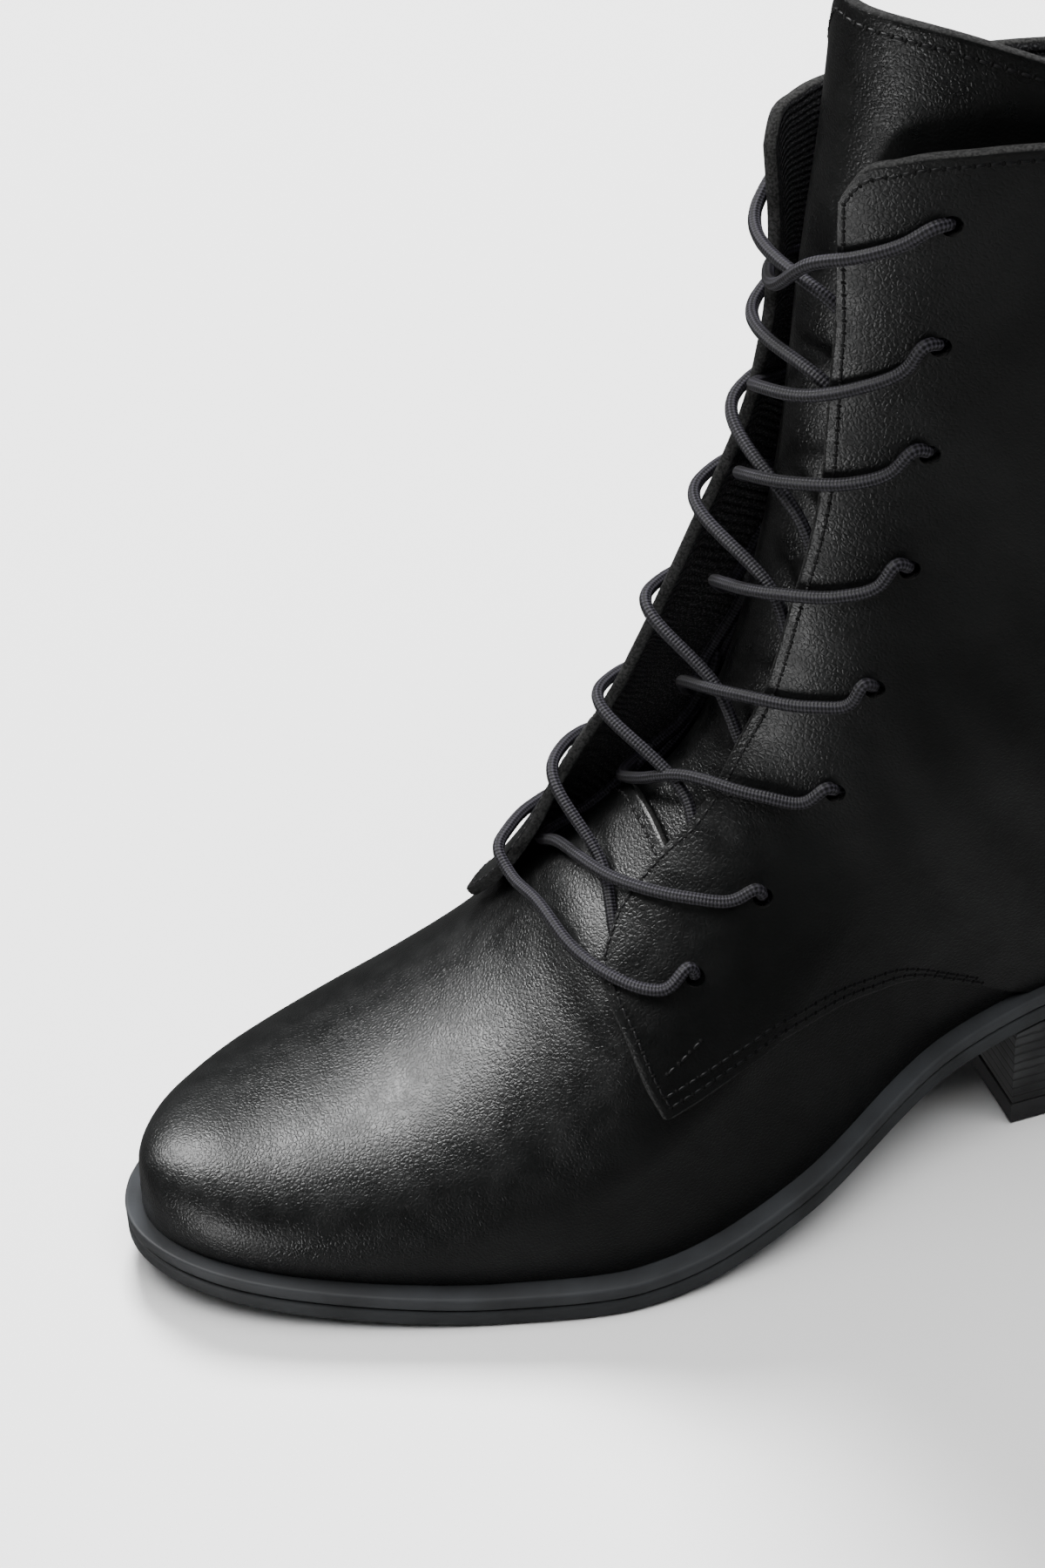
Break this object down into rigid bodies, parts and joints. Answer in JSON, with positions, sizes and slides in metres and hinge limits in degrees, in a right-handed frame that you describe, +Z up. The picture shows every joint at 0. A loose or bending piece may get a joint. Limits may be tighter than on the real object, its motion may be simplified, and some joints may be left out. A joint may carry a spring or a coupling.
{
  "type": "lace up ankle boot",
  "caption": "Lace up leather ankle boot for the left foot, round toe, shaft to above the ankle, stacked block heel and thin sole.",
  "frame": {"origin": "on the heel's ground face, on the boot's centre line, 30 mm in front of the sole's back end", "axes": "+X towards the toe, +Y towards the wearer's left, the outer side, +Z up; the heel and forefoot stand on Z = 0"},
  "size_m": [0.2614, 0.0924, 0.2531],
  "materials": {
    "black_leather": "semi-gloss, fine pebble grain",
    "tongue_leather": "semi-gloss, fine pebble grain",
    "dark_rubber": "matt",
    "welt_rubber": "matt",
    "heel_stack": "matt stacked layers",
    "insole_textile": "matt",
    "waxed_cord": "waxed braid"
  },
  "bodies": {
    "root": {"outsole": "dark_rubber", "welt": "welt_rubber", "insole": "insole_textile", "heel": "heel_stack", "heel_top_lift": "dark_rubber", "upper": "black_leather", "tongue": "tongue_leather", "lace_crossing_1": "waxed_cord", "lace_crossing_2": "waxed_cord", "lace_crossing_3": "waxed_cord", "lace_crossing_4": "waxed_cord", "lace_crossing_5": "waxed_cord", "lace_crossing_6": "waxed_cord", "lace_crossing_7": "waxed_cord", "lace_bar": "waxed_cord"}
  },
  "joints": []
}
